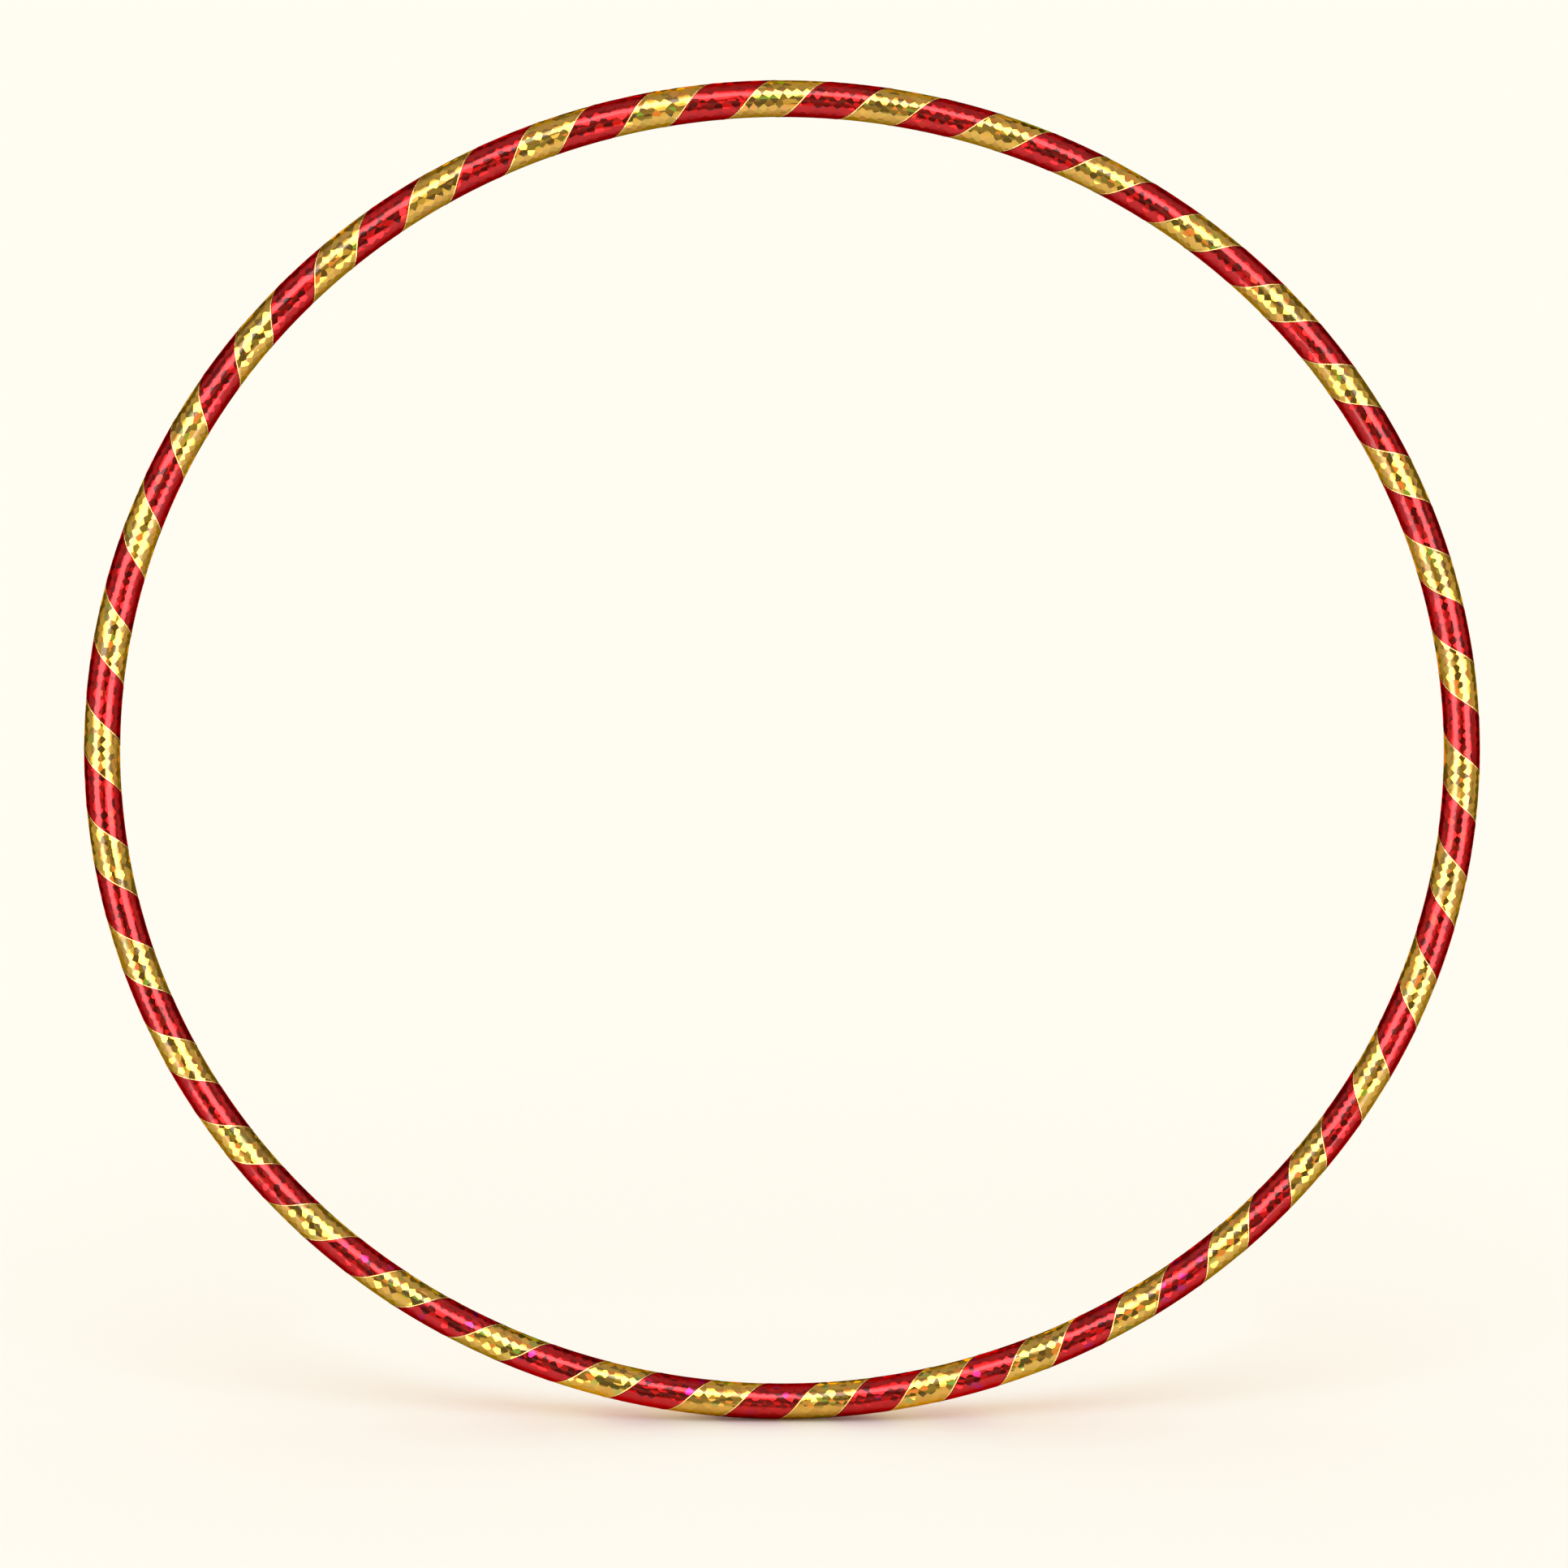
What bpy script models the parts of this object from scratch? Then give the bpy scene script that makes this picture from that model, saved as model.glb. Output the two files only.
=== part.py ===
"""Hula hoop: a bent plastic tube, closed by a riveted sleeve and wound with two foil tapes.

The hoop stands upright in the XZ plane and faces -Y. The origin is the centre of the ring.
Places on the ring are given by three numbers: `along` is the angle clockwise from the top as
seen from the front, `around` is the angle about the tube's centreline, from the hoop's outer
edge towards its back, and `radius` is the distance from the tube's centreline.
"""

import math

import bmesh
import bpy
import numpy as np
from mathutils import Matrix, Vector

# Sizes of the hoop, in metres
HOOP_DIAMETER = 0.762            # across the ring, over the tape
TUBE_DIAMETER = 0.01905
TUBE_WALL = 0.0016
TUBE_BUTT_GAP = 0.0006           # between the two ends of the tube
SEAT_GAP = 0.0003                # left between pieces that touch

# Two tapes wound side by side
TAPE_TURNS = 38
TAPE_THICKNESS = 0.0002
TAPE_SEAM = 0.0004               # between the red and the gold edge, measured along the tube
TAPE_END_GAP = 0.001             # between a tape's first end and its last
TAPE_START_LEAD = 0.033          # the tapes start this far before the butt
TAPE_START_AROUND = math.pi / 2  # the tapes start at the back of the hoop

# Joining sleeve inside the tube
SLEEVE_LENGTH = 0.100
SLEEVE_WALL = 0.0016
SLEEVE_CLEARANCE = 0.0004
SLEEVE_CHAMFER = 0.0008

# Countersunk blind rivets through the tube and the sleeve
RIVET_FROM_BUTT = 0.030
RIVET_SHANK_DIAMETER = 0.0032
RIVET_HEAD_DIAMETER = 0.0046
RIVET_HEAD_DEPTH = 0.0008
RIVET_HEAD_RIM = 0.0001          # straight edge of the countersunk head
RIVET_HEAD_SINK = 0.0001         # the head lies this far below the tube's surface
RIVET_BORE = 0.0018
RIVET_BULB_DIAMETER = 0.0044     # the blind end, swollen by the mandrel
RIVET_BULB_TAPER = 0.0008
RIVET_BULB_LENGTH = 0.0026
MANDREL_STEM_DIAMETER = 0.0012
MANDREL_STEM_LENGTH = 0.0022
MANDREL_HEAD_DIAMETER = 0.0030
MANDREL_HEAD_LENGTH = 0.0014

# How finely the round forms are divided
SIDES = 12                       # flats round the tube, and points in one turn of tape
BORE_STATIONS = 120
SLEEVE_STATIONS = 8
RIVET_SIDES = 16
SHARP_ANGLE = math.radians(50)

# Values that follow from the sizes above
TUBE_RADIUS = TUBE_DIAMETER / 2
BORE_RADIUS = TUBE_RADIUS - TUBE_WALL
TAPE_INNER_RADIUS = TUBE_RADIUS + SEAT_GAP
TAPE_OUTER_RADIUS = TAPE_INNER_RADIUS + TAPE_THICKNESS
CENTRELINE_RADIUS = HOOP_DIAMETER / 2 - TAPE_OUTER_RADIUS
SLEEVE_OUTER_RADIUS = BORE_RADIUS - SLEEVE_CLEARANCE
SLEEVE_INNER_RADIUS = SLEEVE_OUTER_RADIUS - SLEEVE_WALL
BUTT_ALONG = math.pi             # the butt is at the foot of the hoop
TAPE_START_ALONG = BUTT_ALONG - TAPE_START_LEAD / CENTRELINE_RADIUS
WRAP_PITCH = 2 * math.pi / TAPE_TURNS
FLAT_ANGLE = 2 * math.pi / SIDES
FLAT_RATIO = math.cos(FLAT_ANGLE / 2)


def clear_objects():
    for old in list(bpy.data.objects):
        bpy.data.objects.remove(old, do_unlink=True)


def principled(name, color, roughness, metallic):
    material = bpy.data.materials.new(name)
    material.use_nodes = True
    shader = material.node_tree.nodes["Principled BSDF"]
    shader.inputs["Base Color"].default_value = (*color, 1)
    shader.inputs["Roughness"].default_value = roughness
    shader.inputs["Metallic"].default_value = metallic
    return material


def ring_point(along, around, radius):
    reach = CENTRELINE_RADIUS + radius * math.cos(around)
    return Vector((reach * math.sin(along), radius * math.sin(around), reach * math.cos(along)))


def wrap_point(turn, offset, radius):
    """A point `turn` turns along the wrap, moved `offset` further along the ring."""
    along = TAPE_START_ALONG + turn * WRAP_PITCH + offset
    around = TAPE_START_AROUND + turn * 2 * math.pi
    return ring_point(along, around, radius)


def finish_object(bm, name, material, parent):
    """Turns a bmesh into an object with outward faces and smooth round sides."""
    bmesh.ops.recalc_face_normals(bm, faces=bm.faces)
    mesh = bpy.data.meshes.new(name)
    bm.to_mesh(mesh)
    bm.free()
    mesh.shade_smooth()
    mesh.set_sharp_from_angle(angle=SHARP_ANGLE)
    if material:
        mesh.materials.append(material)
    made = bpy.data.objects.new(name, mesh)
    bpy.context.scene.collection.objects.link(made)
    made.parent = parent
    return made


def make_cutter(made):
    made.hide_render = True
    made.display_type = 'WIRE'
    return made


def cut(target, cutter):
    boolean = target.modifiers.new("cut_by_" + cutter.name, 'BOOLEAN')
    boolean.operation = 'DIFFERENCE'
    boolean.solver = 'EXACT'
    boolean.object = cutter


def lay_band(bm, near, far):
    """Fills between two lines of points with triangles that all lean the same way."""
    for near_now, near_next, far_now, far_next in zip(near, near[1:], far, far[1:]):
        bm.faces.new((near_now, far_now, near_next))
        bm.faces.new((far_now, far_next, near_next))


def bend_profile(bm, profile):
    """Sweeps round sections along the ring, at each (along, radius) of a closed profile."""
    loops = []
    for along, radius in profile:
        arounds = [TAPE_START_AROUND + side * FLAT_ANGLE for side in range(SIDES)]
        loops.append([bm.verts.new(ring_point(along, around, radius)) for around in arounds])
    for loop, following in zip(loops, loops[1:] + loops[:1]):
        for side in range(SIDES):
            after = (side + 1) % SIDES
            bm.faces.new((loop[side], loop[after], following[after], following[side]))


def turn_profile(profile, closed):
    """Spins (radius, height) points about Z. An open profile starts and ends on the axis."""
    bm = bmesh.new()
    points = [bm.verts.new((radius, 0, height)) for radius, height in profile]
    followers = points[1:] + points[:1] if closed else points[1:]
    edges = [bm.edges.new(pair) for pair in zip(points, followers)]
    bmesh.ops.spin(bm, geom=points + edges, cent=(0, 0, 0), axis=(0, 0, 1),
                   angle=2 * math.pi, steps=RIVET_SIDES, use_merge=True)
    bmesh.ops.remove_doubles(bm, verts=bm.verts, dist=1e-6)
    return bm


def make_tube(parent):
    """A hollow ring, sawn through at the butt. Its outer skin follows the lines of the wrap."""
    bm = bmesh.new()
    seams = 2 * TAPE_TURNS
    grid = []
    for seam in range(seams):
        turns = [side / SIDES for side in range(SIDES)]
        offset = seam * WRAP_PITCH / 2
        grid.append([bm.verts.new(wrap_point(turn, offset, TUBE_RADIUS)) for turn in turns])

    def seam_line(seam):
        # after one turn a seam reaches the start of the seam after next
        return grid[seam % seams] + grid[(seam + 2) % seams][:1]

    for seam in range(seams):
        lay_band(bm, seam_line(seam), seam_line(seam + 1))
    material = principled("black_polyethylene", (0.02, 0.02, 0.022), 0.45, 0)
    tube = finish_object(bm, "tube", material, parent)
    cut(tube, make_bore_cutter(parent))
    cut(tube, make_butt_cutter(parent))
    return tube


def make_bore_cutter(parent):
    bm = bmesh.new()
    step = 2 * math.pi / BORE_STATIONS
    bend_profile(bm, [(station * step, BORE_RADIUS) for station in range(BORE_STATIONS)])
    return make_cutter(finish_object(bm, "bore_cutter", None, parent))


def make_butt_cutter(parent):
    bm = bmesh.new()
    reach = 2 * TUBE_DIAMETER
    bmesh.ops.create_cube(bm, size=1, matrix=Matrix.Diagonal((TUBE_BUTT_GAP, reach, reach, 1)))
    saw = finish_object(bm, "butt_cutter", None, parent)
    saw.location = ring_point(BUTT_ALONG, 0, 0)
    saw.rotation_euler = (0, BUTT_ALONG, 0)
    return make_cutter(saw)


def make_sleeve(parent):
    """A short bent pipe with chamfered ends, as long on one side of the butt as on the other."""
    bm = bmesh.new()
    half = SLEEVE_LENGTH / 2 / CENTRELINE_RADIUS
    chamfer = SLEEVE_CHAMFER / CENTRELINE_RADIUS
    step = 2 * (half - chamfer) / SLEEVE_STATIONS
    outside = [(step * station - half + chamfer, SLEEVE_OUTER_RADIUS)
               for station in range(SLEEVE_STATIONS + 1)]
    first_tip = (-half, SLEEVE_OUTER_RADIUS - SLEEVE_CHAMFER)
    last_tip = (half, SLEEVE_OUTER_RADIUS - SLEEVE_CHAMFER)
    ends = [first_tip] + outside + [last_tip]
    inside = [(place, SLEEVE_INNER_RADIUS) for place, radius in reversed(outside)]
    inside = [(half, SLEEVE_INNER_RADIUS)] + inside[1:-1] + [(-half, SLEEVE_INNER_RADIUS)]
    bend_profile(bm, [(BUTT_ALONG + place, radius) for place, radius in ends + inside])
    material = principled("natural_polypropylene", (0.62, 0.62, 0.58), 0.5, 0)
    return finish_object(bm, "joint_sleeve", material, parent)


def place_on_tube(made, along):
    """Stands a turned piece on the tube's inner flat, its Z pointing away from the tube."""
    flats_to_inside = (math.pi - TAPE_START_AROUND) / FLAT_ANGLE
    around = TAPE_START_AROUND + (math.floor(flats_to_inside) - 0.5) * FLAT_ANGLE
    foot = ring_point(along, around, 0)
    made.location = ring_point(along, around, TUBE_RADIUS * FLAT_RATIO)
    made.rotation_euler = (Vector(made.location) - foot).to_track_quat('Z', 'Y').to_euler()


def make_rivet_drill(name, along, parent):
    """The countersunk hole that a rivet fits, from over the tube's surface to its centreline."""
    shank = RIVET_SHANK_DIAMETER / 2 + SEAT_GAP
    head = RIVET_HEAD_DIAMETER / 2 + SEAT_GAP
    cone_top = -RIVET_HEAD_SINK - RIVET_HEAD_RIM
    cone_foot = -RIVET_HEAD_SINK - RIVET_HEAD_DEPTH - SEAT_GAP
    mouth = TUBE_WALL
    profile = [(0, mouth), (head, mouth), (head, cone_top), (shank, cone_foot),
               (shank, -TUBE_RADIUS), (0, -TUBE_RADIUS)]
    drill = finish_object(turn_profile(profile, closed=False), name, None, parent)
    place_on_tube(drill, along)
    return make_cutter(drill)


def bulb_heights():
    """Heights of the blind end's start and finish, below the sleeve's inner flat."""
    start = -(TUBE_RADIUS - SLEEVE_INNER_RADIUS) * FLAT_RATIO - SEAT_GAP
    return start, start - RIVET_BULB_LENGTH


def make_rivet_body(name, along, material, parent):
    shank = RIVET_SHANK_DIAMETER / 2
    head = RIVET_HEAD_DIAMETER / 2
    bulb = RIVET_BULB_DIAMETER / 2
    bore = RIVET_BORE / 2
    start, finish = bulb_heights()
    top = -RIVET_HEAD_SINK
    profile = [(bore, top), (head, top), (head, top - RIVET_HEAD_RIM),
               (shank, top - RIVET_HEAD_DEPTH), (shank, start), (bulb, start - RIVET_BULB_TAPER),
               (bulb, finish + RIVET_BULB_TAPER / 2), (shank, finish), (bore, finish)]
    body = finish_object(turn_profile(profile, closed=True), name, material, parent)
    place_on_tube(body, along)
    return body


def make_rivet_mandrel(name, along, material, parent):
    """The pulled mandrel's head under the bulb, and the stem that broke off inside the bore."""
    stem = MANDREL_STEM_DIAMETER / 2
    head = MANDREL_HEAD_DIAMETER / 2
    seat = bulb_heights()[1] - SEAT_GAP
    foot = seat - MANDREL_HEAD_LENGTH
    profile = [(0, seat + MANDREL_STEM_LENGTH), (stem, seat + MANDREL_STEM_LENGTH), (stem, seat),
               (head, seat), (head, seat - MANDREL_HEAD_LENGTH / 2), (stem, foot), (0, foot)]
    mandrel = finish_object(turn_profile(profile, closed=False), name, material, parent)
    place_on_tube(mandrel, along)
    return mandrel


def print_least_gap(name, turns, lines):
    """Prints how near a tape comes to itself, from points over half a turn apart."""
    points = np.array([vert.co for line in lines for vert in line])
    places = np.tile(turns, len(lines))
    least = math.inf
    for point, place in zip(points, places):
        others = points[np.abs(places - place) > 0.5]
        least = min(least, np.linalg.norm(others - point, axis=1).min())
    print(f"{name}: least gap to itself {least * 1000:.2f} mm")


def make_tape(name, first_edge, material, parent):
    """One unbroken ribbon that goes all round the ring and ends where it began."""
    bm = bmesh.new()
    seam = TAPE_SEAM / CENTRELINE_RADIUS
    near = first_edge + seam / 2
    far = first_edge + WRAP_PITCH / 2 - seam / 2
    end_turn = TAPE_TURNS - TAPE_END_GAP / (2 * math.pi * TAPE_INNER_RADIUS)
    turns = [step / SIDES for step in range(TAPE_TURNS * SIDES)] + [end_turn]
    corners = [(near, TAPE_INNER_RADIUS), (near, TAPE_OUTER_RADIUS),
               (far, TAPE_OUTER_RADIUS), (far, TAPE_INNER_RADIUS)]
    lines = [[bm.verts.new(wrap_point(turn, offset, radius)) for turn in turns]
             for offset, radius in corners]
    near_in, near_out, far_out, far_in = lines
    for start, stop in ((near_in, far_in), (near_out, far_out), (near_in, near_out), (far_in, far_out)):
        lay_band(bm, start, stop)
    for end in (0, -1):
        bm.faces.new([line[end] for line in lines])
    print_least_gap(name, turns, lines)
    return finish_object(bm, name, material, parent)


def make_hoop():
    clear_objects()
    centre = bpy.data.objects.new("hoop_centre", None)
    bpy.context.scene.collection.objects.link(centre)

    tube = make_tube(centre)
    sleeve = make_sleeve(centre)

    aluminium = principled("rivet_aluminium", (0.72, 0.72, 0.73), 0.35, 1)
    steel = principled("mandrel_steel", (0.45, 0.45, 0.46), 0.4, 1)
    for number, way in ((1, -1), (2, 1)):
        along = BUTT_ALONG + way * RIVET_FROM_BUTT / CENTRELINE_RADIUS
        drill = make_rivet_drill(f"rivet_drill_{number}", along, centre)
        cut(tube, drill)
        cut(sleeve, drill)
        make_rivet_body(f"rivet_body_{number}", along, aluminium, centre)
        make_rivet_mandrel(f"rivet_mandrel_{number}", along, steel, centre)

    red = principled("red_holographic_foil", (0.52, 0.013, 0.018), 0.28, 0.9)
    gold = principled("gold_holographic_foil", (0.60, 0.38, 0.06), 0.28, 0.9)
    make_tape("red_tape", 0, red, centre)
    make_tape("gold_tape", WRAP_PITCH / 2, gold, centre)


make_hoop()
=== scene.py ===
import math

import bpy
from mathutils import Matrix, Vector


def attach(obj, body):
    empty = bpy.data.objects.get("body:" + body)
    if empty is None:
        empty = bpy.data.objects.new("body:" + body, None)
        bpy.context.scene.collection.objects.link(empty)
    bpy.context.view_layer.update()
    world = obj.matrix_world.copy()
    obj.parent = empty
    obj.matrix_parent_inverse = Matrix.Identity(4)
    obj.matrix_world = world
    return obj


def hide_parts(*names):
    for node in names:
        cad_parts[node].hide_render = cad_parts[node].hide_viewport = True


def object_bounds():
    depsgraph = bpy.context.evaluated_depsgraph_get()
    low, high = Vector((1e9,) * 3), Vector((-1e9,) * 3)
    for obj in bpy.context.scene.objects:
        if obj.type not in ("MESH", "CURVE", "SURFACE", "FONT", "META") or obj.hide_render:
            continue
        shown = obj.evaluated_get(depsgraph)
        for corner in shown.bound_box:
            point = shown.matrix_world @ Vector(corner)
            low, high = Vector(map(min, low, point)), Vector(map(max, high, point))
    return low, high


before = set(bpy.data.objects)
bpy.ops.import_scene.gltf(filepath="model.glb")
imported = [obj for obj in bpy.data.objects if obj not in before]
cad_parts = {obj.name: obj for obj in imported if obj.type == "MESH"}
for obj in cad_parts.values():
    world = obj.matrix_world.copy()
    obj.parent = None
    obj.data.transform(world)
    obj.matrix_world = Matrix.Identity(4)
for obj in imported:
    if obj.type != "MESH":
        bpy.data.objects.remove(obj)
cadLow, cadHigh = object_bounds()
print("frame loaded:", ", ".join(sorted(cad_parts)))


def addNode(tree, kind, **settings):
    node = tree.nodes.new(kind)
    for name, value in settings.items():
        setattr(node, name, value)
    return node


# a socket takes either another node's output or a plain value
def feed(tree, socket, value):
    if isinstance(value, bpy.types.NodeSocket):
        tree.links.new(value, socket)
    else:
        socket.default_value = value


def calc(tree, operation, *values):
    node = addNode(tree, "ShaderNodeMath", operation=operation)
    for socket, value in zip(node.inputs, values):
        feed(tree, socket, value)
    return node.outputs[0]


def vectorCalc(tree, operation, *values, scale=None):
    node = addNode(tree, "ShaderNodeVectorMath", operation=operation)
    for socket, value in zip(node.inputs, values):
        feed(tree, socket, value)
    if scale is not None:
        feed(tree, node.inputs["Scale"], scale)
    return node.outputs["Vector"]


# goes smoothly from 0 at start to 1 at end, also where start is the larger
def rise(tree, value, start, end):
    node = addNode(tree, "ShaderNodeMapRange", interpolation_type="SMOOTHSTEP")
    feed(tree, node.inputs["Value"], value)
    feed(tree, node.inputs["From Min"], start)
    feed(tree, node.inputs["From Max"], end)
    return node.outputs["Result"]


def mixColour(tree, factor, first, second, blend="MIX"):
    node = addNode(tree, "ShaderNodeMix", data_type="RGBA", blend_type=blend)
    feed(tree, node.inputs[0], factor)
    for socket, value in ((node.inputs[6], first), (node.inputs[7], second)):
        if isinstance(value, tuple) and len(value) == 3:
            value = (*value, 1.0)
        feed(tree, socket, value)
    return node.outputs[2]


def mixValue(tree, factor, first, second):
    node = addNode(tree, "ShaderNodeMix", data_type="FLOAT")
    feed(tree, node.inputs[0], factor)
    feed(tree, node.inputs[2], first)
    feed(tree, node.inputs[3], second)
    return node.outputs[0]


def ramp(tree, factor, stops, interpolation="LINEAR"):
    node = addNode(tree, "ShaderNodeValToRGB")
    node.color_ramp.interpolation = interpolation
    elements = node.color_ramp.elements
    while len(elements) < len(stops):
        elements.new(1.0)
    for element, (place, colour) in zip(elements, stops):
        element.position = place
        element.color = (*colour, 1.0)
    feed(tree, node.inputs["Fac"], factor)
    return node.outputs["Color"]


cameraView = {
    "elevation": math.radians(16.7),
    "distance": 5.7,
    "lens": 239.9,  # mm on a 36 mm sensor
    "aimRight": 0.0011,  # the lens points a little right of and below the middle of the hoop
    "aimDown": 0.0119,
}


def addCamera():
    tilt = cameraView["elevation"]
    up = Vector((0, math.sin(tilt), math.cos(tilt)))
    place = Vector((0, -math.cos(tilt), math.sin(tilt))) * cameraView["distance"]
    aim = Vector((cameraView["aimRight"], 0, 0)) - up * cameraView["aimDown"]
    turned = (aim - place).to_track_quat("-Z", "Y").to_euler()
    bpy.ops.object.camera_add(location=place, rotation=turned)
    camera = bpy.context.object
    camera.data.lens = cameraView["lens"]
    bpy.context.scene.camera = camera


addCamera()
print("camera placed")

studio = {
    "lampPlace": (0, -1.5, 3),
    "lampTilt": math.radians(29),  # leans forward, so the shadow falls behind
    "lampSpread": math.radians(29),
    "lampStrength": 0.82,
    "lampColour": (0.40, 0.70, 1.0),
    "roomColour": (0.950, 0.882, 0.824),  # fills the shadow warmly; lamp and room add up to white
    "backdropColour": (0.991, 0.965, 0.863),
    "floorColour": (0.966, 0.941, 0.842),
    "floorSize": 80.0,
    "contactReach": (0.012, 0.05),  # the foil mirrors the floor itself only this near
    "paintedUnderHoopShade": (0.40, 0.38, 0.32),  # painted contact shade: what the foil mirrors of the floor right under it
    "thrown": (1.6, 1.4, 0.6),  # the warm light that the foil throws onto the floor
}

# What the foil mirrors: two light panels in front of the hoop, which join in an arch round a
# flecked gap, and dimmer ones behind it. Places are in degrees to the side and above the floor,
# sizes are half widths and half heights, and edges are in shares of the size.
reflections = {
    "aroundFront": 0.70,
    "aroundBack": 0.20,
    "aroundTurn": (0.1, 0.5),  # how far back the surroundings darken
    "overhead": 0.60,
    "overheadTurn": (0.55, 0.92),
    "floorFront": 1.08,
    "floorBack": 0.42,
    "floorTurn": (-0.8, 0.4),
    "floorTop": (-23.0, -31.0),
    "archMiddle": -10.0,
    "archInner": (19.5, 43.0),
    "archInnerEdge": (0.98, 1.03),
    "archOuter": (60.0, 80.0),
    "archOuterEdge": (1.06, 0.94),
    "archFoot": (-39.0, -31.0),
    "archColour": (1.0, 0.86, 0.90),
    "archCore": 7.0,
    "archRim": 2.4,
    "coreInnerEdge": (1.02, 1.08),
    "coreOuterEdge": (0.96, 0.84),
    "archOuterBack": (30.0, 80.0),
    "archBack": (0.60, 0.52, 0.46),
    "backPanel": 1.8,  # how much brighter the arch is low down behind the hoop
    "backPanelTop": (28.0, 14.0),
    "gapMiddle": 0.0,
    "gapSize": (24.0, 40.0),
    "gapEdge": (1.1, 0.95),
    "gapFoot": (-30.0, -24.0),
    "haloEdge": (1.45, 1.30),  # just outside the arch the flecks show more
    "haloFlecks": 0.75,
    "sideFlecks": 0.2,
    "fleckScale": 5.5,
    "flecks": [
        (0.0, (0.17, 0.16, 0.10)),
        (0.24, (0.38, 0.38, 0.26)),
        (0.50, (0.85, 0.80, 0.62)),
        (0.66, (1.25, 0.62, 0.50)),
        (0.75, (0.34, 0.90, 0.60)),
        (0.86, (2.0, 1.6, 1.6)),
    ],
}


def addLamp():
    tilt = (studio["lampTilt"], 0, 0)
    bpy.ops.object.light_add(type="SUN", location=studio["lampPlace"], rotation=tilt)
    lamp = bpy.context.object
    lamp.name = "ceilingLamp"
    lamp.data.energy = studio["lampStrength"]
    lamp.data.angle = studio["lampSpread"]
    lamp.data.color = studio["lampColour"]
    lamp.visible_glossy = False  # the foil mirrors the room's own light panels


# 0 at an oval's middle and 1 all along its edge
def ovalDistance(tree, azimuth, elevation, size, middle):
    across = calc(tree, "DIVIDE", azimuth, size[0])
    upward = calc(tree, "DIVIDE", calc(tree, "SUBTRACT", elevation, middle), size[1])
    acrossSquare = calc(tree, "MULTIPLY", across, across)
    upwardSquare = calc(tree, "MULTIPLY", upward, upward)
    return calc(tree, "SQRT", calc(tree, "ADD", acrossSquare, upwardSquare))


def makeFlecks(tree, x, y, z):
    folded = addNode(tree, "ShaderNodeCombineXYZ")  # the same flecks in front and behind
    for socket, part in zip(folded.inputs, (x, calc(tree, "ABSOLUTE", y), z)):
        feed(tree, socket, part)
    flecks = addNode(tree, "ShaderNodeTexVoronoi")
    feed(tree, flecks.inputs["Scale"], reflections["fleckScale"])
    feed(tree, flecks.inputs["Vector"], folded.outputs[0])
    chance = addNode(tree, "ShaderNodeSeparateColor")
    feed(tree, chance.inputs[0], flecks.outputs["Color"])
    return ramp(tree, chance.outputs[0], reflections["flecks"], "CONSTANT")


def makeArchLight(tree, inner, outer, elevation, behind):
    room = reflections
    coreInside = rise(tree, inner, *room["coreInnerEdge"])
    coreOutside = rise(tree, outer, *room["coreOuterEdge"])
    core = calc(tree, "MULTIPLY", coreInside, coreOutside)
    bright = mixValue(tree, core, room["archRim"], room["archCore"])
    frontLight = vectorCalc(tree, "SCALE", room["archColour"], scale=bright)
    low = rise(tree, elevation, *room["backPanelTop"])
    panel = mixValue(tree, low, 1.0, room["backPanel"])
    backLight = vectorCalc(tree, "SCALE", room["archBack"], scale=panel)
    return mixColour(tree, behind, frontLight, backLight)


def makeMirroredRoom(tree):
    room = reflections
    direction = addNode(tree, "ShaderNodeSeparateXYZ")
    feed(tree, direction.inputs[0], addNode(tree, "ShaderNodeTexCoord").outputs["Generated"])
    x, y, z = direction.outputs
    toDegrees = math.degrees(1)
    sideways = calc(tree, "ARCTAN2", x, calc(tree, "ABSOLUTE", y))
    azimuth = calc(tree, "MULTIPLY", sideways, toDegrees)
    elevation = calc(tree, "MULTIPLY", calc(tree, "ARCSINE", z), toDegrees)
    behind = calc(tree, "GREATER_THAN", y, 0.0)

    inner = ovalDistance(tree, azimuth, elevation, room["archInner"], room["archMiddle"])
    outerFront = ovalDistance(tree, azimuth, elevation, room["archOuter"], room["archMiddle"])
    outerBack = ovalDistance(tree, azimuth, elevation, room["archOuterBack"], room["archMiddle"])
    outer = mixValue(tree, behind, outerFront, outerBack)
    inside = rise(tree, inner, *room["archInnerEdge"])
    outside = rise(tree, outer, *room["archOuterEdge"])
    arch = calc(tree, "MULTIPLY", inside, outside)
    arch = calc(tree, "MULTIPLY", arch, rise(tree, elevation, *room["archFoot"]))
    archLight = makeArchLight(tree, inner, outer, elevation, behind)
    fromGap = ovalDistance(tree, azimuth, elevation, room["gapSize"], room["gapMiddle"])
    gap = rise(tree, fromGap, *room["gapEdge"])
    gap = calc(tree, "MULTIPLY", gap, rise(tree, elevation, *room["gapFoot"]))

    backward = rise(tree, y, *room["aroundTurn"])
    around = mixValue(tree, backward, room["aroundFront"], room["aroundBack"])
    around = mixValue(tree, rise(tree, z, *room["overheadTurn"]), around, room["overhead"])
    floorBackward = rise(tree, y, *room["floorTurn"])
    floorLevel = mixValue(tree, floorBackward, room["floorFront"], room["floorBack"])
    towardsFloor = rise(tree, elevation, *room["floorTop"])

    fleckColour = makeFlecks(tree, x, y, z)
    moreFlecks = room["haloFlecks"] - room["sideFlecks"]
    halo = calc(tree, "MULTIPLY", rise(tree, outer, *room["haloEdge"]), moreFlecks)
    share = calc(tree, "ADD", halo, room["sideFlecks"])
    dimFlecks = vectorCalc(tree, "SCALE", fleckColour, scale=around)
    mirrored = mixColour(tree, share, around, dimFlecks)
    mirrored = mixColour(tree, towardsFloor, mirrored, floorLevel)
    mirrored = mixColour(tree, arch, mirrored, archLight)
    return mixColour(tree, gap, mirrored, fleckColour)


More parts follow.
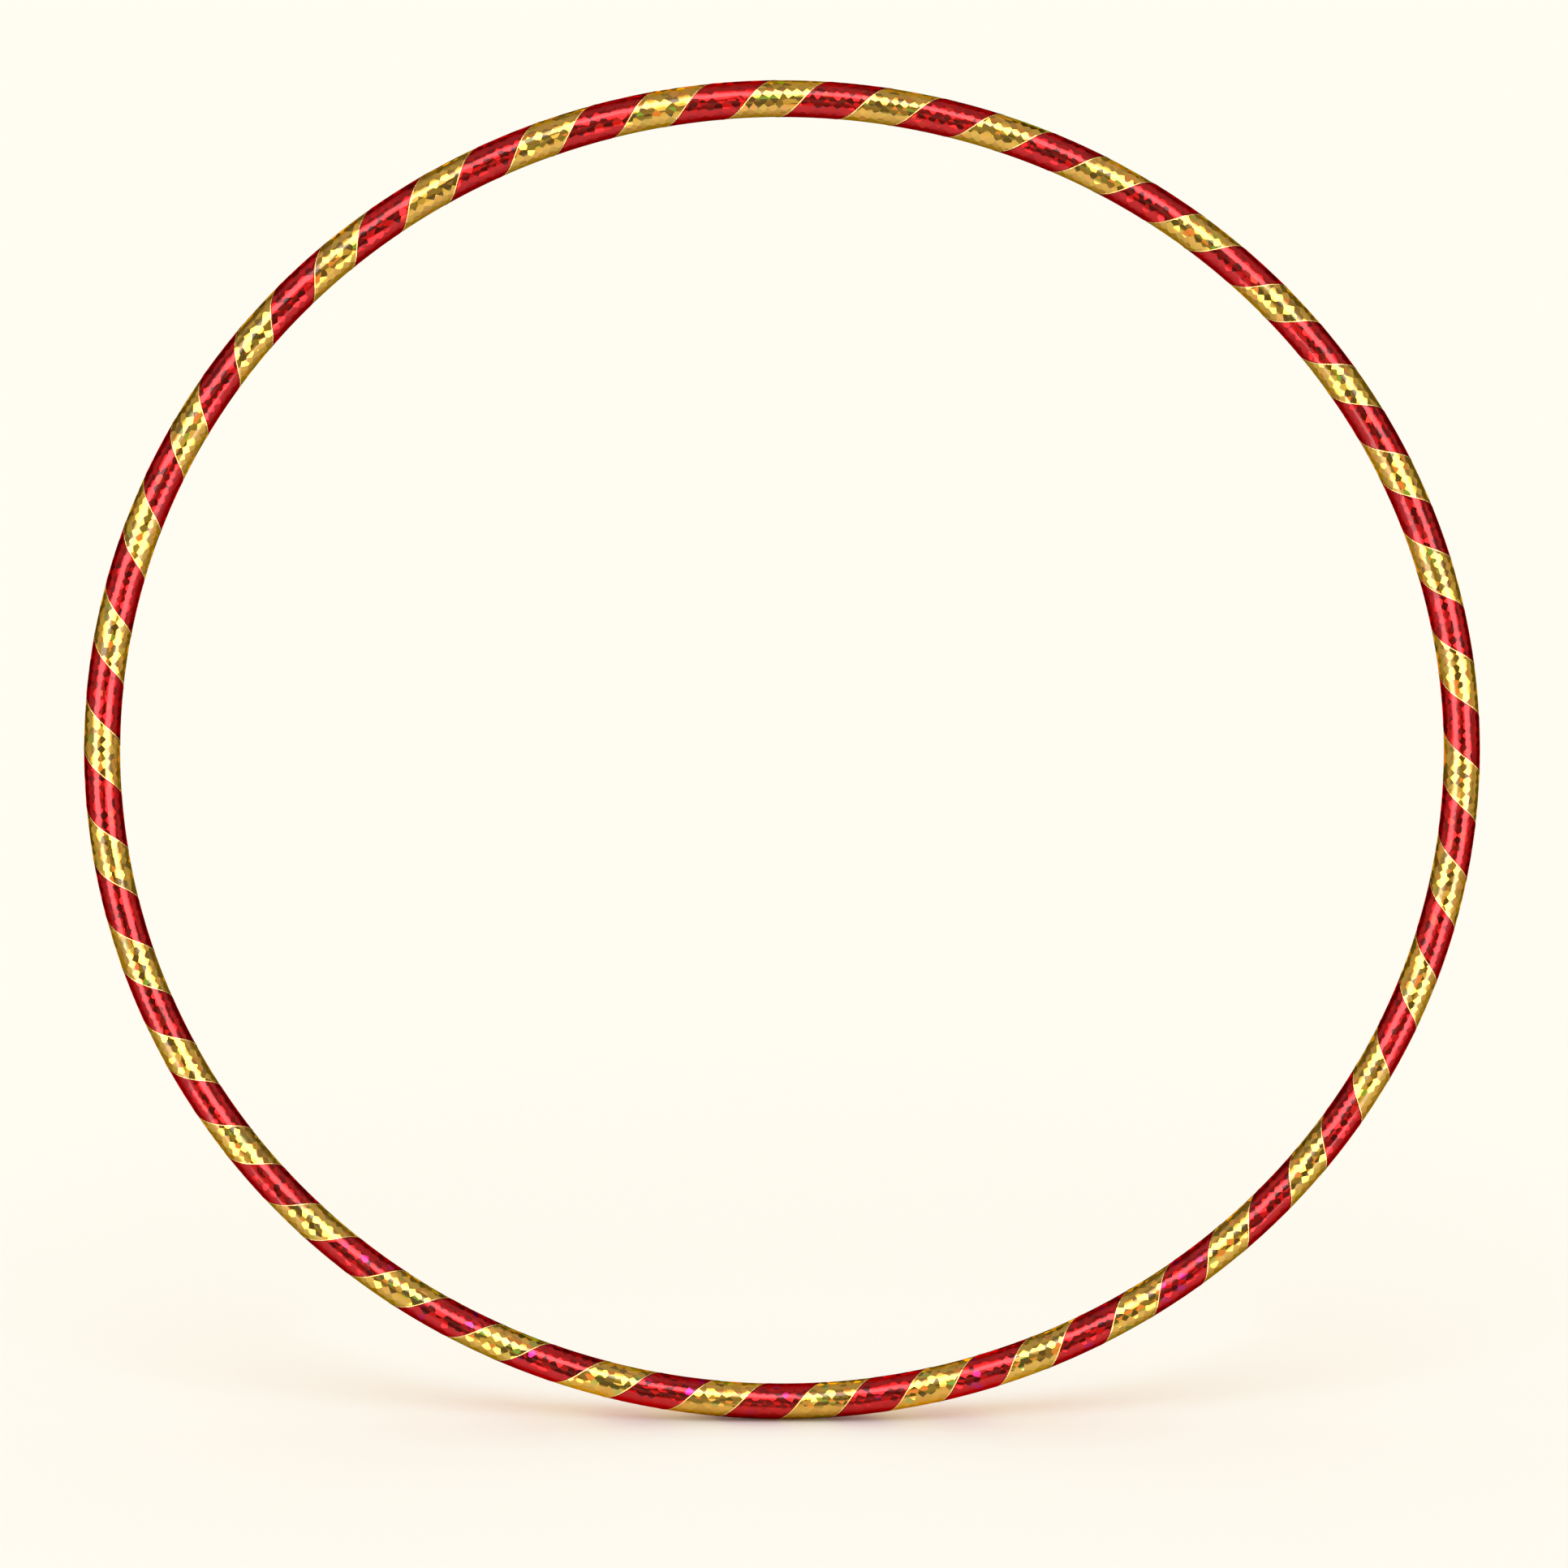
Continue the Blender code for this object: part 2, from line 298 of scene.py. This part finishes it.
def buildRoom():
    world = bpy.data.worlds.new("studioRoom")
    bpy.context.scene.world = world
    world.use_nodes = True
    world.cycles.sampling_method = "NONE"
    tree = world.node_tree
    tree.nodes.clear()
    path = addNode(tree, "ShaderNodeLightPath")
    mirrored = makeMirroredRoom(tree)
    # light that reaches the floor by way of the foil doesn't carry the panels with it
    byFoil = calc(tree, "GREATER_THAN", path.outputs["Diffuse Depth"], 0.5)
    mirrored = mixColour(tree, byFoil, mirrored, studio["thrown"])
    seen = mixColour(tree, path.outputs["Is Glossy Ray"], studio["roomColour"], mirrored)
    cameraRay, throughRay = path.outputs["Is Camera Ray"], path.outputs["Is Transmission Ray"]
    straight = calc(tree, "MAXIMUM", cameraRay, throughRay)
    seen = mixColour(tree, straight, seen, studio["backdropColour"])
    background = addNode(tree, "ShaderNodeBackground")
    feed(tree, background.inputs["Color"], seen)
    output = addNode(tree, "ShaderNodeOutputWorld")
    feed(tree, output.inputs["Surface"], background.outputs[0])


def addFloor():
    bpy.ops.object.select_all(action="DESELECT")
    bpy.ops.mesh.primitive_plane_add(size=studio["floorSize"], location=(0, 0, cadLow.z))
    floor = bpy.context.object
    floor.name = "floor"
    paper = bpy.data.materials.new("floorPaper")
    paper.use_nodes = True
    tree = paper.node_tree
    shader = tree.nodes["Principled BSDF"]
    path = addNode(tree, "ShaderNodeLightPath")
    glossyRay, reach = path.outputs["Is Glossy Ray"], path.outputs["Ray Length"]
    contactStart, contactEnd = studio["contactReach"]
    # close to the foil its reflection of the floor darkens to the painted contact shade, and
    # further off it shows the room
    clear = rise(tree, reach, 0.0, contactStart)
    outsidePaintedShade = calc(tree, "MAXIMUM", clear, calc(tree, "SUBTRACT", 1.0, glossyRay))
    colour = mixColour(tree, outsidePaintedShade, studio["paintedUnderHoopShade"], studio["floorColour"])
    feed(tree, shader.inputs["Base Color"], colour)
    shader.inputs["Roughness"].default_value = 1.0
    shader.inputs["Specular IOR Level"].default_value = 0.0
    mix = addNode(tree, "ShaderNodeMixShader")
    far = rise(tree, reach, contactStart, contactEnd)
    feed(tree, mix.inputs[0], calc(tree, "MULTIPLY", far, glossyRay))
    feed(tree, mix.inputs[1], shader.outputs[0])
    feed(tree, mix.inputs[2], addNode(tree, "ShaderNodeBsdfTransparent").outputs[0])
    feed(tree, tree.nodes["Material Output"].inputs["Surface"], mix.outputs[0])
    floor.data.materials.append(paper)


addLamp()
buildRoom()
addFloor()
bpy.context.scene.view_settings.view_transform = "Standard"
print("studio built")

winding = {
    "ringRadius": 0.370785,  # to the middle of the tube
    "tubeRadius": 0.010,
    "turns": 38,
    "stepsPerTurn": 48,
    "startAlong": math.radians(174.915),  # at the foot, on the back
    "startAround": math.pi / 2,
    "endGap": 0.012,  # turns left open where a tape meets its own start
    # the winder's hand wandered: times round the hoop, how far and where it peaks, in degrees
    "handDrift": ((1, 1.01, -14), (2, 0.78, 28), (3, 0.18, 7), (5, 0.14, 37), (6, 0.17, 250)),
    "straighter": math.radians(0.2),
    "smoothBelow": math.radians(35),
}
pitch = 2 * math.pi / winding["turns"]

# the tapes' columns run from side to side: a share of the half width, and the radius there
redSide = (
    (0.3, 0.00991),
    (0.6, 0.00991),
    (0.915, 0.00992),
    (0.955, 0.00998),  # the side lifts over the gold
    (0.985, 0.00998),
    (1.0, 0.00996),
)
redTape = {
    "middle": pitch / 4,
    "halfWidth": 0.0159,  # along the tube
    "thickness": 0.00010,
    "columns": (
        *((-share, radius) for share, radius in reversed(redSide)),
        (0.0, 0.00991),
        *redSide,
    ),
}

goldTape = {
    "middle": pitch * 3 / 4,
    "halfWidth": 0.01660,  # its sides go under the red
    "thickness": 0.00010,
    "columns": tuple((side / 6, 0.00984) for side in range(-6, 7)),
}


def handDrift(along):
    drift = 0.0
    for times, reach, peak in winding["handDrift"]:
        drift += reach * math.cos(times * along - math.radians(peak))
    return math.radians(drift)


def tapePoint(turn, sideAngle, radius):
    around = winding["startAround"] + 2 * math.pi * turn
    along = winding["startAlong"] + turn * pitch + sideAngle
    along += handDrift(along) - winding["straighter"] * math.sin(around + math.pi / 2)
    reach = winding["ringRadius"] + radius * math.cos(around)
    return Vector((reach * math.sin(along), radius * math.sin(around), reach * math.cos(along)))


def turnOutwards(mesh):
    first = mesh.polygons[0]
    spot = Vector((first.center.x, 0, first.center.z)).normalized() * winding["ringRadius"]
    if first.normal.dot(first.center - spot) < 0:
        bpy.ops.object.mode_set(mode="EDIT")
        bpy.ops.mesh.select_all(action="SELECT")
        bpy.ops.mesh.flip_normals()
        bpy.ops.object.mode_set(mode="OBJECT")


def windTape(name, tape, material, node):
    columns = tape["columns"]
    steps = winding["turns"] * winding["stepsPerTurn"]
    bpy.ops.object.select_all(action="DESELECT")
    bpy.ops.mesh.primitive_grid_add(x_subdivisions=steps, y_subdivisions=len(columns) - 1, size=1)
    piece = bpy.context.object
    piece.name = name
    mesh = piece.data
    mesh.name = name
    # the flat grid is wound up: its length goes round the tube, its width lies along it
    runs, sides = [], []
    across = mesh.attributes.new("acrossTape", "FLOAT", "POINT")
    for vertex in mesh.vertices:
        run = vertex.co.x + 0.5
        side, radius = columns[round((vertex.co.y + 0.5) * (len(columns) - 1))]
        turn = winding["endGap"] / 2 + run * (winding["turns"] - winding["endGap"])
        sideways = side * tape["halfWidth"]
        sideAngle = tape["middle"] + sideways / winding["ringRadius"]
        vertex.co = tapePoint(turn, sideAngle, radius)
        across.data[vertex.index].value = sideways
        runs.append(2 * math.pi * turn * winding["tubeRadius"])
        sides.append((turn * pitch + sideAngle) * winding["ringRadius"])
    wound = mesh.uv_layers[0]
    wound.name = "wound"
    for loop in mesh.loops:
        wound.data[loop.index].uv = (sides[loop.vertex_index], runs[loop.vertex_index])
    mesh.update()
    turnOutwards(mesh)
    bpy.ops.object.modifier_add(type="SOLIDIFY")
    piece.modifiers[-1].thickness = tape["thickness"]
    piece.modifiers[-1].offset = -1.0
    bpy.ops.object.modifier_apply(modifier=piece.modifiers[-1].name)
    bpy.ops.object.shade_smooth_by_angle(angle=winding["smoothBelow"])
    mesh.materials.append(material)
    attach(piece, "root")
    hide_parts(node)
    print(name, "wound:", len(mesh.polygons), "faces")


def newGroup(name, inputs, outputs):
    group = bpy.data.node_groups.new(name, "ShaderNodeTree")
    for label, kind, value in inputs:
        socket = group.interface.new_socket(label, in_out="INPUT", socket_type=kind)
        if value is not None:
            socket.default_value = value
    for label, kind in outputs:
        group.interface.new_socket(label, in_out="OUTPUT", socket_type=kind)
    return group, addNode(group, "NodeGroupInput"), addNode(group, "NodeGroupOutput")


def addGroup(tree, group, values):
    node = addNode(tree, "ShaderNodeGroup", node_tree=group)
    for name, value in values.items():
        feed(tree, node.inputs[name], value)
    return node


foilPattern = {
    # 24 rows fit round the tube, and an even count sets one row of cells along the hoop's front
    "cellSize": 0.0037024,
    "turned": math.radians(45),  # the rows follow the tape, which runs round at half a right angle
    "scatter": 0.62,
    "paintedRainbowDrift": 0.06,
    "paintedRainbowHeight": (-0.2, -0.36),  # painted rainbow reflection: the cell hues reach the end of their ramp only near the foot
    "shadeStir": 7.3,  # stirs two chances of a cell into a third
}


def buildFoilCells():
    pattern = foilPattern
    group, given, out = newGroup(
        "foilCells",
        [
            ("Place", "NodeSocketVector", None),
            ("Cell Size", "NodeSocketFloat", pattern["cellSize"]),
            ("Tube Radius", "NodeSocketFloat", winding["tubeRadius"]),
            ("Flatness", "NodeSocketFloat", 0.6),
            ("Tilt Along", "NodeSocketFloat", 0.3),
            ("Tilt Round", "NodeSocketFloat", 0.06),
            ("Painted Rainbow Drift", "NodeSocketFloat", pattern["paintedRainbowDrift"]),
        ],
        [
            ("Shade", "NodeSocketFloat"),
            ("Hue", "NodeSocketFloat"),
            ("Normal", "NodeSocketVector"),
        ],
    )
    onTape = addNode(group, "ShaderNodeVectorRotate", rotation_type="Z_AXIS")
    feed(group, onTape.inputs["Angle"], pattern["turned"])
    feed(group, onTape.inputs["Vector"], given.outputs["Place"])
    half = pattern["scatter"] / 2
    centred = vectorCalc(group, "SCALE", (half, half, 0.0), scale=given.outputs["Cell Size"])
    place = vectorCalc(group, "ADD", onTape.outputs[0], centred)
    cells = addNode(group, "ShaderNodeTexVoronoi", voronoi_dimensions="2D", feature="F1")
    feed(group, cells.inputs["Randomness"], pattern["scatter"])
    feed(group, cells.inputs["Vector"], place)
    feed(group, cells.inputs["Scale"], calc(group, "DIVIDE", 1.0, given.outputs["Cell Size"]))
    split = addNode(group, "ShaderNodeSeparateColor")
    feed(group, split.inputs[0], cells.outputs["Color"])
    firstChance, secondChance, thirdChance = split.outputs[:3]

    # each cell is partly flattened and leans its own way, along the tube and round it
    surface = addNode(group, "ShaderNodeNewGeometry").outputs["Normal"]
    where = addNode(group, "ShaderNodeTexCoord").outputs["Object"]
    toSide = vectorCalc(group, "CROSS_PRODUCT", (0.0, 1.0, 0.0), where)
    alongTube = vectorCalc(group, "NORMALIZE", toSide)
    roundTube = vectorCalc(group, "CROSS_PRODUCT", surface, alongTube)
    onTube = addNode(group, "ShaderNodeVectorRotate", rotation_type="Z_AXIS")
    feed(group, onTube.inputs["Angle"], -pattern["turned"])
    withinCell = vectorCalc(group, "SUBTRACT", place, cells.outputs["Position"])
    feed(group, onTube.inputs["Vector"], withinCell)
    fromMiddle = addNode(group, "ShaderNodeSeparateXYZ")
    feed(group, fromMiddle.inputs[0], onTube.outputs[0])
    bend = calc(group, "DIVIDE", fromMiddle.outputs["Y"], given.outputs["Tube Radius"])
    unbend = calc(group, "MULTIPLY", calc(group, "MULTIPLY", bend, given.outputs["Flatness"]), -1.0)
    lean = vectorCalc(group, "ADD", surface, vectorCalc(group, "SCALE", roundTube, scale=unbend))
    for way, chance, label in (
        (alongTube, firstChance, "Tilt Along"),
        (roundTube, secondChance, "Tilt Round"),
    ):
        amount = calc(group, "MULTIPLY", calc(group, "SUBTRACT", chance, 0.5), given.outputs[label])
        lean = vectorCalc(group, "ADD", lean, vectorCalc(group, "SCALE", way, scale=amount))
    feed(group, out.inputs["Normal"], vectorCalc(group, "NORMALIZE", lean))

    # near the foot the cell hues shift towards the ramp's end: a painted rainbow reflection
    height = addNode(group, "ShaderNodeSeparateXYZ")
    feed(group, height.inputs[0], where)
    nearFoot = rise(group, height.outputs["Z"], *pattern["paintedRainbowHeight"])
    drift = calc(group, "MULTIPLY", nearFoot, given.outputs["Painted Rainbow Drift"])
    span = calc(group, "SUBTRACT", 1.0, given.outputs["Painted Rainbow Drift"])
    feed(group, out.inputs["Hue"], calc(group, "MULTIPLY_ADD", thirdChance, span, drift))
    bothChances = calc(group, "ADD", firstChance, thirdChance)
    stirred = calc(group, "MULTIPLY", bothChances, pattern["shadeStir"])
    feed(group, out.inputs["Shade"], calc(group, "FRACT", stirred))
    return group


# where the painted seam line and the painted seam shade lie along the tape's edge
cutShape = {  # in widths of the cut line, from the edge
    "lineInside": (1.15, 0.8),
    "rimInside": (0.3, 0.1),
}


# masks for the painted seam line and the painted seam shade at the tape's visible edge
def buildCutEdge():
    group, given, out = newGroup(
        "cutEdge",
        [
            ("Edge Place", "NodeSocketFloat", redTape["halfWidth"]),
            ("Line Width", "NodeSocketFloat", 0.0006),
        ],
        [("Line", "NodeSocketFloat"), ("Rim", "NodeSocketFloat")],
    )
    across = addNode(group, "ShaderNodeAttribute", attribute_name="acrossTape").outputs["Fac"]
    fromEdge = calc(group, "SUBTRACT", given.outputs["Edge Place"], calc(group, "ABSOLUTE", across))
    share = calc(group, "DIVIDE", fromEdge, given.outputs["Line Width"])
    feed(group, out.inputs["Line"], rise(group, share, *cutShape["lineInside"]))
    feed(group, out.inputs["Rim"], rise(group, share, *cutShape["rimInside"]))
    return group


wear = {
    "detail": 4.0,
    "contrast": (0.3, 0.7),
    "lighter": 1.25,  # worn places are this much lighter
    "bumpHeight": 0.0002,
}


def buildFineWear():
    group, given, out = newGroup(
        "fineWear",
        [
            ("Scale", "NodeSocketFloat", 400.0),
            ("Low", "NodeSocketFloat", 0.3),
            ("High", "NodeSocketFloat", 0.5),
        ],
        [("Roughness", "NodeSocketFloat"), ("Height", "NodeSocketFloat")],
    )
    noise = addNode(group, "ShaderNodeTexNoise")
    feed(group, noise.inputs["Detail"], wear["detail"])
    feed(group, noise.inputs["Vector"], addNode(group, "ShaderNodeTexCoord").outputs["Object"])
    feed(group, noise.inputs["Scale"], given.outputs["Scale"])
    worn = rise(group, noise.outputs["Fac"], *wear["contrast"])
    roughness = mixValue(group, worn, given.outputs["Low"], given.outputs["High"])
    feed(group, out.inputs["Roughness"], roughness)
    feed(group, out.inputs["Height"], noise.outputs["Fac"])
    return group


foilCells = buildFoilCells()
cutEdge = buildCutEdge()
fineWear = buildFineWear()

foilFace = {  # what both foils share
    "shades": [(0.0, (0.9,) * 3), (0.3, (0.98,) * 3), (0.8, (1.02,) * 3), (1.0, (1.06,) * 3)],
    "tiltAlong": 0.3,
    "tiltRound": 0.06,
    "satin": (0.03, 0.09),
    "satinPower": 2.0,  # few cells are as dull as they get
    "cutRoughness": 0.45,
    "coatRoughness": 0.04,
    "coatFade": (0.5, 0.15),  # the clear face loses its gloss towards the rim
}

goldFoil = {
    "hues": [
        (0.0, (0.80, 0.35, 0.06)),
        (0.08, (0.72, 0.37, 0.05)),
        (0.3, (0.70, 0.385, 0.048)),
        (0.8, (0.71, 0.405, 0.05)),
        (0.95, (0.66, 0.43, 0.05)),
        # this last stop is reached only near the foot: painted rainbow reflection
        (1.0, (0.40, 0.45, 0.09)),
    ],
    # painted highlight along the seam, and painted shade right at the edge
    "paintedSeamLine": (1.0, 0.76, 0.25),
    "paintedSeamShade": (0.30, 0.04, 0.01),
    "edgePlace": 0.01477,  # where the red begins
    "lineWidth": 0.0007,
    "flatness": 0.72,
    "coatStrength": 0.75,
    "coatIndex": 1.55,
    "edgeTint": (0.80, 0.52, 0.15),
}

redFoil = {
    "hues": [
        (0.0, (0.60, 0.022, 0.010)),
        (0.08, (0.55, 0.009, 0.009)),
        (0.3, (0.52, 0.008, 0.009)),
        (0.94, (0.52, 0.008, 0.010)),
        # this last stop is reached only near the foot: painted rainbow reflection
        (1.0, (0.36, 0.010, 0.14)),
    ],
    # painted shade along the seam, and darker painted shade right at the edge
    "paintedSeamLine": (0.20, 0.003, 0.004),
    "paintedSeamShade": (0.10, 0.004, 0.004),
    "edgePlace": redTape["halfWidth"],
    "lineWidth": 0.0006,
    "flatness": 0.56,
    "coatStrength": 0.5,
    "coatIndex": 1.5,
    "edgeTint": (0.70, 0.05, 0.05),
}


def buildFoil(name, foil):
    material = bpy.data.materials.new(name)
    material.use_nodes = True
    tree = material.node_tree
    shader = tree.nodes["Principled BSDF"]
    cells = addGroup(tree, foilCells, {
        "Place": addNode(tree, "ShaderNodeUVMap", uv_map="wound").outputs["UV"],
        "Flatness": foil["flatness"],
        "Tilt Along": foilFace["tiltAlong"],
        "Tilt Round": foilFace["tiltRound"],
    })
    edge = addGroup(tree, cutEdge, {
        "Edge Place": foil["edgePlace"],
        "Line Width": foil["lineWidth"],
    })
    hue = ramp(tree, cells.outputs["Hue"], foil["hues"])
    shade = ramp(tree, cells.outputs["Shade"], foilFace["shades"])
    colour = mixColour(tree, 1.0, hue, shade, "MULTIPLY")
    # the seam line paints a highlight on the gold and shade on the red, and the rim paints shade at
    # the very edge
    colour = mixColour(tree, edge.outputs["Line"], colour, foil["paintedSeamLine"])
    colour = mixColour(tree, edge.outputs["Rim"], colour, foil["paintedSeamShade"])
    feed(tree, shader.inputs["Base Color"], colour)
    feed(tree, shader.inputs["Normal"], cells.outputs["Normal"])
    dull = calc(tree, "POWER", cells.outputs["Shade"], foilFace["satinPower"])
    rough = mixValue(tree, dull, *foilFace["satin"])
    rough = mixValue(tree, edge.outputs["Line"], rough, foilFace["cutRoughness"])
    feed(tree, shader.inputs["Roughness"], rough)
    facing = addNode(tree, "ShaderNodeLayerWeight").outputs["Facing"]
    gloss = rise(tree, facing, *foilFace["coatFade"])
    feed(tree, shader.inputs["Coat Weight"], calc(tree, "MULTIPLY", gloss, foil["coatStrength"]))
    shader.inputs["Coat IOR"].default_value = foil["coatIndex"]
    shader.inputs["Coat Roughness"].default_value = foilFace["coatRoughness"]
    shader.inputs["Metallic"].default_value = 1.0
    shader.inputs["Specular Tint"].default_value = (*foil["edgeTint"], 1.0)
    return material


# the pieces under the tape keep their solids' shape and only get a finish
hiddenFinishes = {
    "blackTubePlastic": {
        "nodes": ("tube",),
        "colour": (0.02, 0.02, 0.022),
        "metallic": 0.0,
        "roughness": (0.38, 0.55),
        "grain": 300.0,
        "bump": 0.25,
    },
    "naturalSleevePlastic": {
        "nodes": ("joint_sleeve",),
        "colour": (0.62, 0.62, 0.58),
        "metallic": 0.0,
        "roughness": (0.42, 0.6),
        "grain": 500.0,
        "bump": 0.2,
    },
    "rivetAluminium": {
        "nodes": ("rivet_body_1", "rivet_body_2"),
        "colour": (0.72, 0.72, 0.73),
        "metallic": 1.0,
        "roughness": (0.28, 0.42),
        "grain": 1500.0,
        "bump": 0.15,
    },
    "mandrelSteel": {
        "nodes": ("rivet_mandrel_1", "rivet_mandrel_2"),
        "colour": (0.45, 0.45, 0.46),
        "metallic": 1.0,
        "roughness": (0.32, 0.5),
        "grain": 1800.0,
        "bump": 0.15,
    },
}


def buildPlain(name, finish):
    material = bpy.data.materials.new(name)
    material.use_nodes = True
    tree = material.node_tree
    shader = tree.nodes["Principled BSDF"]
    low, high = finish["roughness"]
    worn = addGroup(tree, fineWear, {"Scale": finish["grain"], "Low": low, "High": high})
    lighter = tuple(min(1.0, part * wear["lighter"]) for part in finish["colour"])
    colour = mixColour(tree, worn.outputs["Height"], finish["colour"], lighter)
    feed(tree, shader.inputs["Base Color"], colour)
    feed(tree, shader.inputs["Roughness"], worn.outputs["Roughness"])
    bumps = addNode(tree, "ShaderNodeBump")
    bumps.inputs["Strength"].default_value = finish["bump"]
    bumps.inputs["Distance"].default_value = wear["bumpHeight"]
    feed(tree, bumps.inputs["Height"], worn.outputs["Height"])
    feed(tree, shader.inputs["Normal"], bumps.outputs[0])
    shader.inputs["Metallic"].default_value = finish["metallic"]
    return material


goldMaterial = buildFoil("goldCrackedFoil", goldFoil)
redMaterial = buildFoil("redCrackedFoil", redFoil)
for finishName, finish in hiddenFinishes.items():
    plain = buildPlain(finishName, finish)
    for nodeName in finish["nodes"]:
        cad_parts[nodeName].material_slots[0].material = plain
print("finishes made")

windTape("redTape", redTape, redMaterial, "red_tape")
windTape("goldTape", goldTape, goldMaterial, "gold_tape")

bpy.context.view_layer.update()
